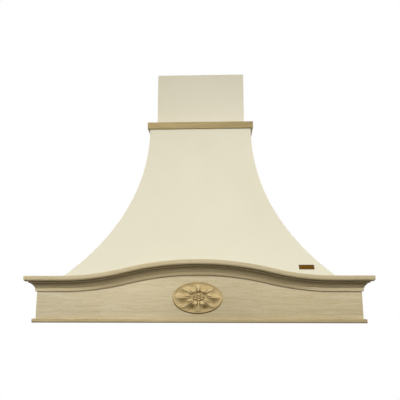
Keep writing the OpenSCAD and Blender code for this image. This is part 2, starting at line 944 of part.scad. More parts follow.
module flue_bracket() {
    low = bracket_z - bracket_h / 2;
    high = bracket_z + bracket_h / 2;
    color(zinc) difference() {
        union() {
            block([-upper_inner_half, -bracket_t, low], [upper_inner_half, 0, high]);
            both_sides()
                block([upper_inner_half - bracket_t, -bracket_ear, low], [upper_inner_half, 0, high]);
        }
        for (side = [-1, 1]) {
            translate([side * bracket_hole_w / 2, over, bracket_z]) rotate([90, 0, 0])
                cylinder(r = bracket_hole_r, h = bracket_t + 2 * over);
        }
    }
}

// A filter is drawn with the middle of its lower rear edge at the origin
module at_filter(side) {
    translate([side * filter_half_pitch, -filter_y, panel_z]) children();
}

module latch_block_space(grow) {
    block(
        [-latch_block_w / 2 - grow, -filter_d, -over],
        [latch_block_w / 2 + grow, latch_block_d - filter_d + grow, filter_t + over]);
}

module filter_frame() {
    window = filter_border;
    groove = filter_border - mesh_bite;
    middle = filter_t / 2;
    pocket_top = latch_floor + latch_t + 2 * latch_play;
    pocket_front = latch_wall - filter_d;
    difference() {
        union() {
            difference() {
                block([-filter_w / 2, -filter_d, 0], [filter_w / 2, 0, filter_t]);
                difference() {
                    union() {
                        block([window - filter_w / 2, window - filter_d, -over],
                            [filter_w / 2 - window, -window, filter_t + over]);
                        block([groove - filter_w / 2, groove - filter_d, middle - mesh_t / 2 - mesh_play],
                            [filter_w / 2 - groove, -groove, middle + mesh_t / 2 + mesh_play]);
                    }
                    latch_block_space(0);
                }
            }
            for (side = [-1, 1]) {
                translate([side * lug_x, 0, 0]) block(
                    [-lug_w / 2, -filter_border / 2, sheet + latch_play],
                    [lug_w / 2, filter_rear_gap + lug_l, sheet + latch_play + lug_t]);
            }
        }
        block([-latch_w / 2 - latch_play, pocket_front, latch_floor],
            [latch_w / 2 + latch_play, pocket_front + pocket_l, pocket_top]);
        block([-pull_w / 2 - latch_play, pocket_front, -over],
            [pull_w / 2 + latch_play, pocket_front + pocket_l - latch_wall, latch_floor + over]);
        block([-tongue_w / 2 - latch_play, -filter_d - over, latch_floor],
            [tongue_w / 2 + latch_play, pocket_front + over, pocket_top]);
    }
}

module filter_mesh() {
    reach = filter_border - mesh_bite + mesh_play;
    middle = filter_t / 2;
    difference() {
        block([reach - filter_w / 2, reach - filter_d, middle - mesh_t / 2],
            [filter_w / 2 - reach, -reach, middle + mesh_t / 2]);
        latch_block_space(mesh_play);
    }
}

module filter_latch() {
    front = latch_wall + latch_play - filter_d;
    plate_low = latch_floor + latch_play;
    pad_end = front + latch_l - latch_wall - 2 * latch_play;
    block([-latch_w / 2, front, plate_low], [latch_w / 2, front + latch_l, plate_low + latch_t]);
    block([-tongue_w / 2, latch_play - filter_d - filter_gap, plate_low],
        [tongue_w / 2, front + over, plate_low + latch_t]);
    block([-pull_w / 2, front, 0], [pull_w / 2, pad_end, plate_low + over]);
    block([-pull_w / 2, front, -pull_drop], [pull_w / 2, front + pull_t, over]);
}

module filter_left_frame() {
    color(steel) at_filter(-1) filter_frame();
}

module filter_left_mesh() {
    color("#8f9296") at_filter(-1) filter_mesh();
}

module filter_left_latch() {
    color("#3a3b3d") at_filter(-1) filter_latch();
}

module filter_right_frame() {
    color(steel) at_filter(1) filter_frame();
}

module filter_right_mesh() {
    color("#8f9296") at_filter(1) filter_mesh();
}

module filter_right_latch() {
    color("#3a3b3d") at_filter(1) filter_latch();
}

module at_lamp(side) {
    translate([side * lamp_x, -front_y, panel_z]) children();
}

module lamp_housing() {
    seat_r = lens_r + lens_play;
    lens_top = lens_t - lamp_ring_t + lens_play;
    rotate_extrude() polygon([
        [seat_r, -lamp_ring_t], [lamp_ring_r - lamp_chamfer, -lamp_ring_t],
        [lamp_ring_r, lamp_chamfer - lamp_ring_t], [lamp_ring_r, 0],
        [lamp_can_r, 0], [lamp_can_r, lamp_can_h], [0, lamp_can_h],
        [0, lamp_can_h - lamp_wall], [lamp_can_r - lamp_wall, lamp_can_h - lamp_wall],
        [lamp_can_r - lamp_wall, lens_top + lamp_wall], [seat_r - lamp_wall, lens_top + lamp_wall],
        [seat_r - lamp_wall, lens_top], [seat_r, lens_top]
    ]);
}

module lamp_lens() {
    translate([0, 0, -lamp_ring_t]) cylinder(r = lens_r, h = lens_t);
}

module lamp_left_housing() {
    color("#d8d8d6") at_lamp(-1) lamp_housing();
}

module lamp_left_lens() {
    color("#f4f2ea") at_lamp(-1) lamp_lens();
}

module lamp_right_housing() {
    color("#d8d8d6") at_lamp(1) lamp_housing();
}

module lamp_right_lens() {
    color("#f4f2ea") at_lamp(1) lamp_lens();
}

// Places children at the middle of one button, counted from the left, at the panel's underside
module at_button(index) {
    translate([(index - (buttons - 1) / 2) * button_pitch, -front_y, panel_z]) children();
}

module control_fascia() {
    color("#55524a") difference() {
        translate([0, -front_y, panel_z - fascia_t]) linear_extrude(fascia_t)
            rounded_rectangle(fascia_w, fascia_d, fascia_round);
        for (index = [0 : buttons - 1]) {
            at_button(index) translate([0, 0, -fascia_t - over]) linear_extrude(fascia_t + 2 * over)
                rounded_rectangle(
                    button_w + 2 * button_play, button_d + 2 * button_play, button_round + button_play);
        }
    }
}

module control_housing() {
    collar_w = button_w + 2 * (collar_out + button_play);
    collar_d = button_d + 2 * (collar_out + button_play);
    stem_w = button_w - 2 * (stem_in - button_play);
    stem_d = button_d - 2 * (stem_in - button_play);
    collar_space = collar_t + button_travel + 3 * button_play;
    stem_space = stem_h + button_travel + 3 * button_play;
    color("#44423c") difference() {
        block([-housing_w / 2, -front_y - housing_d / 2, panel_z],
            [housing_w / 2, housing_d / 2 - front_y, panel_z + housing_h]);
        for (index = [0 : buttons - 1]) {
            at_button(index) {
                block([-collar_w / 2, -collar_d / 2, -over], [collar_w / 2, collar_d / 2, collar_space]);
                block([-stem_w / 2, -stem_d / 2, 0], [stem_w / 2, stem_d / 2, collar_t + stem_space]);
            }
        }
    }
}

module button(index) {
    collar_w = button_w + 2 * collar_out;
    collar_d = button_d + 2 * collar_out;
    stem_w = button_w - 2 * stem_in;
    stem_d = button_d - 2 * stem_in;
    color("#d9d4c2") at_button(index) {
        translate([0, 0, -fascia_t - button_out])
            linear_extrude(fascia_t + button_out + button_play + over / 2)
            rounded_rectangle(button_w, button_d, button_round);
        block([-collar_w / 2, -collar_d / 2, button_play],
            [collar_w / 2, collar_d / 2, button_play + collar_t]);
        block([-stem_w / 2, -stem_d / 2, button_play],
            [stem_w / 2, stem_d / 2, button_play + collar_t + stem_h]);
    }
}

module button_stop() {
    button(0);
}

module button_low() {
    button(1);
}

module button_medium() {
    button(2);
}

module button_high() {
    button(3);
}

module button_light() {
    button(4);
}

// Flange that holds the spigot down
module spigot_flange() {
    color("#2b2c2e") difference() {
        translate([0, -duct_y, neck_z]) cylinder(r = spigot_r + flange_out, h = spigot_t);
        translate([0, -duct_y, neck_z - over]) cylinder(r = spigot_r - spigot_t, h = spigot_t + 2 * over);
        at_duct_screws() screw_hole();
    }
}

// Spigot with the ledge that the flaps rest on
module spigot() {
    color("#2b2c2e") difference() {
        translate([0, -duct_y, neck_z + spigot_t]) cylinder(r = spigot_r, h = spigot_h - spigot_t);
        difference() {
            translate([0, -duct_y, neck_z]) cylinder(r = spigot_r - spigot_t, h = spigot_h + over);
            translate([0, -duct_y, neck_z + flap_z - flap_t / 2 - ledge_gap - ledge_h]) difference() {
                cylinder(r = spigot_r, h = ledge_h);
                translate([0, 0, -over])
                    cylinder(r = spigot_r - spigot_t - ledge_w, h = ledge_h + 2 * over);
            }
        }
        at_flap_rod() cylinder(r = rod_r, h = 2 * spigot_r + 2 * over, center = true);
    }
}

// Axis of the flap rod, with +Z turned to point along X
module at_flap_rod() {
    translate([0, -duct_y, neck_z + flap_z]) rotate([0, 90, 0]) children();
}

module flap_rod() {
    color(steel) at_flap_rod() cylinder(r = rod_r, h = 2 * spigot_r - spigot_t, center = true);
}

// One half of the non-return valve, drawn towards the wall, with a hinge eye over each stretch of the rod
module flap(stretches) {
    eye_r = rod_r + rod_play + flap_t;
    translate([0, -duct_y, neck_z + flap_z]) difference() {
        union() {
            intersection() {
                cylinder(r = flap_r, h = flap_t, center = true);
                block([-flap_r, flap_edge, -flap_t], [flap_r, flap_r + over, flap_t]);
            }
            for (stretch = stretches) {
                block([stretch[0], 0, -flap_t / 2], [stretch[1], flap_edge + flap_t, flap_t / 2]);
                translate([stretch[0], 0, 0]) rotate([0, 90, 0])
                    cylinder(r = eye_r, h = stretch[1] - stretch[0]);
            }
        }
        rotate([0, 90, 0]) cylinder(r = rod_r + rod_play, h = 2 * spigot_r, center = true);
    }
}

module flap_back() {
    color("#3b3d40") flap([[-eye_half, eye_half]]);
}

module flap_front() {
    near = eye_half + eye_gap;
    color("#3b3d40") translate([0, -2 * duct_y, 0]) mirror([0, 1, 0])
        flap([[-near - eye_l, -near], [near, near + eye_l]]);
}

// Inside of the blower in section, grown outwards by the sheet's thickness where needed. The radius grows
// quarter by quarter towards the outlet, whose right wall rises straight from the last arc.
module scroll_area(grow) {
    reach = 2 * scroll_r;
    middle_x = fan_x + scroll_step;
    last_z = fan_z + scroll_step;
    intersection() {
        translate([fan_x, fan_z]) circle(scroll_r + grow);
        translate([fan_x - reach, fan_z]) square([2 * reach, reach]);
    }
    intersection() {
        translate([middle_x, fan_z]) circle(scroll_r + scroll_step + grow);
        translate([middle_x - reach, fan_z - reach]) square(reach);
    }
    intersection() {
        translate([middle_x, last_z]) circle(scroll_r + 2 * scroll_step + grow);
        translate([middle_x, last_z - reach]) square(reach);
    }
    translate([-outlet_half - grow, fan_z]) square([2 * (outlet_half + grow), outlet_top - fan_z]);
}

module scroll_band() {
    flange_low = outlet_top - blower_t;
    inner_x = outlet_half + blower_t;
    outer_x = inner_x + outlet_flange;
    color(zinc) difference() {
        union() {
            to_front(blower_back, blower_w) difference() {
                scroll_area(blower_t);
                scroll_area(0);
            }
            difference() {
                block([-outer_x, -bracket_y - outlet_flange, flange_low],
                    [outer_x, blower_t + outlet_flange - blower_back, outlet_top]);
                block([-inner_x, -bracket_y, flange_low - over],
                    [inner_x, blower_t - blower_back, outlet_top + over]);
            }
        }
        block([-outlet_half, -blower_front, outlet_top - outlet_flange],
            [outlet_half, -blower_back, outlet_top + over]);
        at_duct_screws() screw_hole();
    }
}

module scroll_plate() {
    difference() {
        scroll_area(blower_t);
        translate([fan_x, fan_z]) circle(inlet_r);
    }
}

module scroll_front() {
    color(zinc) difference() {
        to_front(blower_front, blower_t) scroll_plate();
        at_arm_screws() screw_hole();
    }
}

module scroll_back() {
    color(zinc) to_front(blower_back - blower_t, blower_t) scroll_plate();
}

// Ring or disc about the impeller's axis between two distances from the wall
module fan_tube(outer, inner, back, front) {
    translate([fan_x, -back, fan_z]) rotate([90, 0, 0]) linear_extrude(front - back) difference() {
        circle(outer);
        circle(inner);
    }
}

module impeller() {
    color("#4b4d50") {
        translate([fan_x, -fan_back, fan_z]) rotate([90, 0, 0]) linear_extrude(fan_front - fan_back)
            intersection() {
                circle(fan_r - blade_t / 2);
                for (index = [0 : blades - 1]) {
                    rotate(360 * index / blades) translate([fan_inner_r + blade_t / 2, 0])
                        rotate(blade_lean) square([fan_r - fan_inner_r + blade_t, blade_t]);
                }
            }
        fan_tube(fan_r, fan_inner_r, fan_back, fan_back + fan_ring_t);
        fan_tube(fan_r, fan_inner_r, fan_front - fan_ring_t, fan_front);
        fan_tube(fan_r, shaft_r, duct_y - fan_disc_t / 2, duct_y + fan_disc_t / 2);
        fan_tube(boss_r, shaft_r, duct_y - fan_disc_t / 2 - boss_l, duct_y + fan_disc_t / 2 + boss_l);
    }
}

module impeller_shaft() {
    back = duct_y - fan_disc_t / 2 - boss_l - over;
    front = bracket_y + arm_t + shaft_out;
    color(steel) translate([fan_x, -back, fan_z]) rotate([90, 0, 0]) cylinder(r = shaft_r, h = front - back);
}

module motor() {
    back = duct_y + fan_disc_t / 2 + boss_l + motor_gap;
    hole_r = shaft_r + shaft_play;
    color("#6d7278") {
        fan_tube(motor_r, hole_r, back + 2 * motor_step, bracket_y - 2 * motor_step);
        fan_tube(motor_r - motor_step, hole_r, back + motor_step, bracket_y - motor_step);
        fan_tube(boss_r, hole_r, back, bracket_y);
    }
}

module motor_bracket() {
    color(zinc) difference() {
        translate([fan_x, -bracket_y, fan_z]) rotate([90, 0, 0]) linear_extrude(arm_t) difference() {
            union() {
                circle(boss_r + arm_w);
                for (turn = [30, 150, 270]) {
                    rotate(turn) translate([0, -arm_w / 2]) square([arm_screw_r + screw_head_r, arm_w]);
                }
            }
            circle(boss_r - arm_t);
        }
        at_arm_screws() screw_hole();
    }
}

module terminal_box() {
    front = sheet + box_d - box_t;
    color("#cfcfcb") translate([box_x, 0, box_z]) difference() {
        block([-box_w / 2, -front, 0], [box_w / 2, -sheet, box_h]);
        block([box_t - box_w / 2, -front - over, box_t], [box_w / 2 - box_t, -sheet - box_t, box_h - box_t]);
    }
}

module terminal_lid() {
    front = sheet + box_d;
    color("#cfcfcb") translate([box_x, 0, box_z])
        block([-box_w / 2, -front, 0], [box_w / 2, box_t - front, box_h]);
}

module capacitor() {
    seat = box_t + capacitor_gap + capacitor_r;
    color("#dedede") translate([box_x, -sheet - seat, box_z + seat]) rotate([0, 90, 0])
        cylinder(r = capacitor_r, h = capacitor_l, center = true);
}

module cable_gland() {
    color("#2b2c2e") translate([gland_x, -gland_y, neck_z]) difference() {
        union() {
            cylinder(r = gland_hex_r, h = gland_hex_h, $fn = 6);
            cylinder(r = gland_cap_r, h = gland_hex_h + gland_cap_h);
            translate([0, 0, -sheet - gland_thread]) cylinder(r = gland_r, h = sheet + gland_thread + over);
        }
        translate([0, 0, -sheet - gland_thread - over])
            cylinder(r = gland_bore_r, h = sheet + gland_thread + gland_hex_h + gland_cap_h + 2 * over);
    }
}

canopy_front();
canopy_left();
canopy_right();
canopy_back();
canopy_top();
blank_plate();
rail_left();
rail_right();
intake_panel();
steel_screws();
wood_screws();
board_front();
board_left();
board_right();
crown_front();
crown_left();
crown_right();
lip_front();
lip_left();
lip_right();
rosette();
trim_front();
trim_left();
trim_right();
flue_lower();
flue_upper();
flue_bracket();
filter_left_frame();
filter_left_mesh();
filter_left_latch();
filter_right_frame();
filter_right_mesh();
filter_right_latch();
lamp_left_housing();
lamp_left_lens();
lamp_right_housing();
lamp_right_lens();
control_fascia();
control_housing();
button_stop();
button_low();
button_medium();
button_high();
button_light();
spigot_flange();
spigot();
flap_rod();
flap_front();
flap_back();
scroll_band();
scroll_front();
scroll_back();
impeller();
impeller_shaft();
motor();
motor_bracket();
terminal_box();
terminal_lid();
capacitor();
cable_gland();
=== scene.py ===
"""Looks of a wall-mounted range hood: its finishes, carved rosette, crown moulding, filter mesh, camera and light.

Units are metres. X runs to the right, Z up, and the wall is the plane y = 0. z = 0 is the underside of the
surround, and x = 0 its middle.
"""
import json
import math

import bpy
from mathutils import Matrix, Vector


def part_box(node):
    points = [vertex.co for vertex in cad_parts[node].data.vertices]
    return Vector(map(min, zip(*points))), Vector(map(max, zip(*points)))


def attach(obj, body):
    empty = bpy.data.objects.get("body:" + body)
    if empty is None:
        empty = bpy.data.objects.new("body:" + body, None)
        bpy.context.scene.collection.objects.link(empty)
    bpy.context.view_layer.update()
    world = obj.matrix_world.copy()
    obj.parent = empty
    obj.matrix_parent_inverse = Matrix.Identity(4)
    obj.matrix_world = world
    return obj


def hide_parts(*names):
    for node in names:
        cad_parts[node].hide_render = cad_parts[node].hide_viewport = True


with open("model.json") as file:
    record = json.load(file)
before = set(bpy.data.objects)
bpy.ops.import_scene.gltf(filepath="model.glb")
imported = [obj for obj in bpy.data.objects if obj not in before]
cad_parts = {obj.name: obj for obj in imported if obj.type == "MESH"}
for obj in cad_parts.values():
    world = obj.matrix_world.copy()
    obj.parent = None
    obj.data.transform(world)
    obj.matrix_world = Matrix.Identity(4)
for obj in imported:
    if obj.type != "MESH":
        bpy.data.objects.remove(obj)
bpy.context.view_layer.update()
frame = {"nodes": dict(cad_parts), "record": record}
scene = bpy.context.scene

MM = 0.001

# The surround, as in the model of the solids
BOARD_FRONT = 0.472
BOARD_HALF = 0.422
# At the corners the front and side pieces meet in the upright planes |x| + y = MITRE
MITRE = -0.05
CROWN_FOOT = 0.0795
ARCH_HALF = 0.352
ARCH_TURN = 0.183
ARCH_RISE = 0.042
ARCH_ANGLE = 2 * math.atan(ARCH_RISE / ARCH_HALF)
HUMP_R = ARCH_TURN / math.sin(ARCH_ANGLE)
DIP_R = (ARCH_HALF - ARCH_TURN) / math.sin(ARCH_ANGLE)
# Length beyond the corner that the mitre cuts off
SPARE = 60 * MM
# Points closer than this are one point
MERGE = 0.002 * MM


# Shader helpers

def colour(code):
    """Linear colour of an sRGB hex value such as "c8b993"."""
    channels = [int(code[place:place + 2], 16) / 255 for place in (0, 2, 4)]
    return [c / 12.92 if c <= 0.04045 else ((c + 0.055) / 1.055) ** 2.4 for c in channels] + [1]


def node(tree, kind, inputs=None, stops=None, **settings):
    """Adds one shader node. Inputs are values or other nodes' outputs, and stops are the points of a ramp."""
    added = tree.nodes.new("ShaderNode" + kind)
    for name, value in settings.items():
        setattr(added, name, value)
    for name, value in (inputs or {}).items():
        if isinstance(value, bpy.types.NodeSocket):
            tree.links.new(value, added.inputs[name])
        else:
            added.inputs[name].default_value = value
    if stops:
        points = added.color_ramp.elements
        while len(points) < len(stops):
            points.new(1)
        for point, (place, code) in zip(points, stops):
            point.position = place
            point.color = colour(code)
    return added


def new_finish(name):
    """An empty material, its tree, and the place on the object in metres."""
    finish = bpy.data.materials.new(name)
    finish.use_nodes = True
    finish.node_tree.nodes.clear()
    tree = finish.node_tree
    return finish, tree, node(tree, "TexCoord").outputs["Object"]


def product(tree, first, second):
    """Two values multiplied."""
    return node(tree, "Math", {0: first, 1: second}, operation="MULTIPLY").outputs["Value"]


def tinted(tree, share, first, second, blend_type="MIX"):
    """The first colour, covered or multiplied by the second one as far as the share says."""
    return node(tree, "Mix", {0: share, 6: first, 7: second}, data_type="RGBA", blend_type=blend_type).outputs[2]


def completed(finish, tree, tone, gloss, relief, more):
    """Puts a finish together from its colour, its roughness, its relief and other inputs of the surface."""
    shader = node(tree, "BsdfPrincipled", {
        "Base Color": tone, "Roughness": gloss.outputs["Result"], "Normal": relief.outputs["Normal"], **more})
    node(tree, "OutputMaterial", {"Surface": shader.outputs["BSDF"]})
    return finish


# Finishes

def ivory_powder_coat():
    # Baked powder on steel sheet: a warm even skin, whose orange peel of 2 mm softens every highlight
    finish, tree, place = new_finish("ivory_powder_coat")
    cloud = node(tree, "TexNoise", {"Vector": place, "Scale": 5, "Detail": 3})
    tone = node(tree, "ValToRGB", {"Fac": cloud.outputs["Fac"]}, [(0.3, "ddd6bb"), (0.7, "e4ddc5")])
    # The paint is drawn a little greyer and darker towards the lower rim
    parts = node(tree, "SeparateXYZ", {"Vector": place})
    lower_greying = node(tree, "MapRange", {"Value": parts.outputs["Z"], "From Min": 0.15, "From Max": 0.5,
                                   "To Min": 1, "To Max": 0})
    greyed_low = tinted(tree, lower_greying.outputs["Result"], tone.outputs["Color"], colour("d8d3bd"))
    # Peel is drawn at 2 mm, somewhat coarser than real, so that it shows
    peel = node(tree, "TexNoise", {"Vector": place, "Scale": 500, "Detail": 2})
    relief = node(tree, "Bump", {"Height": peel.outputs["Fac"], "Strength": 0.12, "Distance": 0.3 * MM})
    gloss = node(tree, "MapRange", {"Value": cloud.outputs["Fac"], "To Min": 0.38, "To Max": 0.5})
    return completed(finish, tree, greyed_low, gloss, relief, {"IOR": 1.5, "Specular IOR Level": 0.4})


def oak(name, tones, roughness, quarter_turns, edge=0, middle_shade_level=1, yellow=0):
    # Planed oak: long fine fibres with slightly darker bands of late wood and short open pores. A strip is drawn
    # darker below height edge, the front board's middle and a moulding's faces that look down get painted shade, and
    # the front board's heartwood is darker and yellower than the rest.
    finish, tree, place = new_finish(name)
    grain_way = node(tree, "Mapping", {"Vector": place, "Rotation": (0, 0, quarter_turns * math.pi / 2)})
    # The fibres wander by a few millimetres over the length of a hand
    wander = node(tree, "TexNoise", {"Vector": grain_way.outputs["Vector"], "Scale": 4, "Detail": 2})
    drift = node(tree, "VectorMath", {0: wander.outputs["Color"], 1: (0.5, 0.5, 0.5)}, operation="SUBTRACT")
    sway = node(tree, "VectorMath", {0: drift.outputs["Vector"], "Scale": 0.03}, operation="SCALE")
    bent = node(tree, "VectorMath", {0: grain_way.outputs["Vector"], 1: sway.outputs["Vector"]})
    # Bands 6 mm high and 0.2 m long
    band_place = node(tree, "Mapping", {"Vector": bent.outputs["Vector"], "Scale": (5, 160, 160)})
    bands = node(tree, "TexNoise", {"Vector": band_place.outputs["Vector"], "Scale": 1, "Detail": 3})
    # Fibres 2 mm high, coarser than real so that they show, and 60 mm long
    fibre_place = node(tree, "Mapping", {"Vector": bent.outputs["Vector"], "Scale": (16, 480, 480)})
    fibres = node(tree, "TexNoise", {"Vector": fibre_place.outputs["Vector"], "Scale": 1, "Detail": 4})
    # Pores 1 mm high and 10 mm long
    pore_place = node(tree, "Mapping", {"Vector": bent.outputs["Vector"], "Scale": (100, 1000, 1000)})
    pores = node(tree, "TexNoise", {"Vector": pore_place.outputs["Vector"], "Scale": 1, "Detail": 1})
    figure = node(tree, "Mix", {0: 0.5, 2: bands.outputs["Fac"], 3: fibres.outputs["Fac"]})
    tone = node(tree, "ValToRGB", {"Fac": figure.outputs[0]}, list(zip((0.3, 0.5, 0.7), tones)))
    pits = node(tree, "MapRange", {"Value": pores.outputs["Fac"], "From Min": 0.56, "From Max": 0.68,
                                   "To Min": 1, "To Max": 0.88})
    # Heartwood is a little darker than the sapwood at the other end of the plank
    parts = node(tree, "SeparateXYZ", {"Vector": place})
    along = node(tree, "MapRange", {"Value": parts.outputs["X"], "From Min": -0.12, "From Max": 0.08,
                                    "To Min": 1.05, "To Max": 0.95})
    # Painted shade: the middle of the front board, where the key light is strongest, is drawn darker
    aside = node(tree, "Math", {0: parts.outputs["X"], 1: 0.04}, operation="SUBTRACT")
    away = node(tree, "Math", {0: aside.outputs["Value"]}, operation="ABSOLUTE")
    painted_middle_shade = node(tree, "MapRange", {"Value": away.outputs["Value"], "From Min": 0, "From Max": 0.24,
                                   "To Min": middle_shade_level, "To Max": 1}, interpolation_type="SMOOTHSTEP")
    # A strip is drawn darker below the height edge
    glaze = node(tree, "MapRange", {"Value": parts.outputs["Z"], "From Min": edge, "From Max": edge + 0.8 * MM,
                                    "To Min": 0.45 if edge else 1, "To Max": 1})
    shade = along.outputs["Result"]
    for layer in (pits, painted_middle_shade, glaze):
        shade = product(tree, shade, layer.outputs["Result"])
    shaded = tinted(tree, 1, tone.outputs["Color"], shade, "MULTIPLY")
    # The front board's heartwood is a little yellower too
    ripe = node(tree, "MapRange", {"Value": parts.outputs["X"], "From Min": -0.3, "From Max": 0.05,
                                   "To Min": 0, "To Max": yellow})
    yellowed = tinted(tree, ripe.outputs["Result"], shaded, colour("fefbf3"), "MULTIPLY")
    # Painted shade: faces of a moulding that look down are drawn darker brown
    under = node(tree, "Attribute", attribute_name="under")
    shade_painted_tone = tinted(tree, product(tree, under.outputs["Fac"], 0.7), yellowed, colour("6b5426"))
    height = node(tree, "Math", {0: fibres.outputs["Fac"], 1: pits.outputs["Result"]}, operation="ADD")
    relief = node(tree, "Bump", {"Height": height.outputs["Value"], "Strength": 0.3, "Distance": 0.25 * MM})
    gloss = node(tree, "MapRange", {"Value": fibres.outputs["Fac"], "To Min": roughness + 0.1,
                                    "To Max": roughness - 0.1})
    return completed(finish, tree, shade_painted_tone, gloss, relief, {"IOR": 1.5, "Specular IOR Level": 0.25})


def carved_wood():
    # Carved lime wood: warmer than the oak, with brown dust and painted shade in the hollows and on slopes that look
    # down, and pale worn crests
    finish, tree, place = new_finish("carved_lime_wood")
    hollow = node(tree, "Attribute", attribute_name="hollow")
    # Grain 4 mm high and 40 mm long
    grain_place = node(tree, "Mapping", {"Vector": place, "Scale": (25, 250, 250)})
    grain = node(tree, "TexNoise", {"Vector": grain_place.outputs["Vector"], "Scale": 1, "Detail": 3})
    tone = node(tree, "ValToRGB", {"Fac": grain.outputs["Fac"]}, [(0.35, "c2aa78"), (0.65, "d5bf8d")])
    # Scratches of the rasp, 1.5 mm wide
    rasp = node(tree, "TexNoise", {"Vector": place, "Scale": 600, "Detail": 2})
    # Dust and painted shade darken the carving towards brown
    depth = node(tree, "MapRange", {"Value": hollow.outputs["Fac"], "To Min": 0, "To Max": 0.95})
    dusted_and_shaded = tinted(tree, depth.outputs["Result"], tone.outputs["Color"], colour("77602f"))
    relief = node(tree, "Bump", {"Height": rasp.outputs["Fac"], "Strength": 0.2, "Distance": 0.3 * MM})
    gloss = node(tree, "MapRange", {"Value": grain.outputs["Fac"], "To Min": 0.65, "To Max": 0.5})
    return completed(finish, tree, dusted_and_shaded, gloss, relief, {"IOR": 1.5, "Specular IOR Level": 0.25})


def plate_enamel():
    # Stove enamel on a small plate: glossy brown, thinner and paler on the field than on the border
    finish, tree, place = new_finish("brown_plate_enamel")
    field = node(tree, "Attribute", attribute_name="field")
    cloud = node(tree, "TexNoise", {"Vector": place, "Scale": 300, "Detail": 3})
    tone = node(tree, "ValToRGB", {"Fac": cloud.outputs["Fac"]}, [(0.3, "5f400a"), (0.7, "67460e")])
    glaze = tinted(tree, field.outputs["Fac"], colour("5e451f"), tone.outputs["Color"])
    relief = node(tree, "Bump", {"Height": cloud.outputs["Fac"], "Strength": 0.1, "Distance": 0.1 * MM})
    gloss = node(tree, "MapRange", {"Value": cloud.outputs["Fac"], "To Min": 0.35, "To Max": 0.5})
    return completed(finish, tree, glaze, gloss, relief, {"IOR": 1.5, "Specular IOR Level": 0.05})


def galvanised_steel():
    # Hot-dipped zinc on steel sheet: flat crystals of 8 mm, each of which mirrors a little differently
    finish, tree, place = new_finish("galvanised_steel")
    crystals = node(tree, "TexVoronoi", {"Vector": place, "Scale": 120})
    crystal = node(tree, "SeparateColor", {"Color": crystals.outputs["Color"]})
    tone = node(tree, "ValToRGB", {"Fac": crystal.outputs["Red"]}, [(0, "9ea3a7"), (1, "b4b8bb")])
    gloss = node(tree, "MapRange", {"Value": crystal.outputs["Green"], "To Min": 0.34, "To Max": 0.52})
    relief = node(tree, "Bump", {"Height": crystal.outputs["Red"], "Strength": 0.1, "Distance": 0.2 * MM})
    return completed(finish, tree, tone.outputs["Color"], gloss, relief, {"Metallic": 1.0})


def brushed_metal(name, dark, light, roughness, scales):
    # Rolled or drawn metal: fine parallel lines that stretch each highlight across them
    finish, tree, place = new_finish(name)
    line_place = node(tree, "Mapping", {"Vector": place, "Scale": scales})
    lines = node(tree, "TexNoise", {"Vector": line_place.outputs["Vector"], "Scale": 1, "Detail": 3})
    smear = node(tree, "TexNoise", {"Vector": place, "Scale": 14, "Detail": 3})
    tone = node(tree, "ValToRGB", {"Fac": lines.outputs["Fac"]}, [(0.3, dark), (0.7, light)])
    gloss = node(tree, "MapRange", {"Value": smear.outputs["Fac"], "From Min": 0.3, "From Max": 0.7,
                                    "To Min": roughness - 0.07, "To Max": roughness + 0.07})
    relief = node(tree, "Bump", {"Height": lines.outputs["Fac"], "Strength": 0.12, "Distance": 0.1 * MM})
    return completed(finish, tree, tone.outputs["Color"], gloss, relief, {"Metallic": 1.0})


def moulded_plastic(name, dark, light, roughness, grain):
    # Injection-moulded plastic: the mould's eroded skin breaks up the highlight
    finish, tree, place = new_finish(name)
    cloud = node(tree, "TexNoise", {"Vector": place, "Scale": 12, "Detail": 3})
    tone = node(tree, "ValToRGB", {"Fac": cloud.outputs["Fac"]}, [(0.35, dark), (0.65, light)])
    skin = node(tree, "TexNoise", {"Vector": place, "Scale": 1 / grain, "Detail": 2})
    gloss = node(tree, "MapRange", {"Value": skin.outputs["Fac"], "To Min": roughness - 0.08,
                                    "To Max": roughness + 0.08})
    relief = node(tree, "Bump", {"Height": skin.outputs["Fac"], "Strength": 0.3, "Distance": grain / 5})
    return completed(finish, tree, tone.outputs["Color"], gloss, relief, {"IOR": 1.5})


def frosted_lens():
    # Pressed glass with a frosted face and rings 2.5 mm apart, which spread the lamp's light
    finish, tree, place = new_finish("frosted_lens_glass")
    parts = node(tree, "SeparateXYZ", {"Vector": place})
    side = node(tree, "Math", {0: parts.outputs["X"]}, operation="ABSOLUTE")
    both = node(tree, "CombineXYZ", {"X": side.outputs["Value"], "Y": parts.outputs["Y"]})
    centred = node(tree, "Mapping", {"Vector": both.outputs["Vector"], "Location": (-0.25, 0.381, 0)})
    rings = node(tree, "TexWave", {"Vector": centred.outputs["Vector"], "Scale": 63}, wave_type="RINGS",
                 rings_direction="Z")
    frost = node(tree, "TexNoise", {"Vector": place, "Scale": 900, "Detail": 2})
    height = node(tree, "Math", {0: rings.outputs["Fac"], 1: frost.outputs["Fac"]}, operation="ADD")
    relief = node(tree, "Bump", {"Height": height.outputs["Value"], "Strength": 0.5, "Distance": 0.4 * MM})
    gloss = node(tree, "MapRange", {"Value": frost.outputs["Fac"], "To Min": 0.25, "To Max": 0.5})
    tone = node(tree, "ValToRGB", {"Fac": rings.outputs["Fac"]}, [(0, "e9e8e0"), (1, "f4f3ee")])
    return completed(finish, tree, tone.outputs["Color"], gloss, relief, {"IOR": 1.5, "Transmission Weight": 0.6})


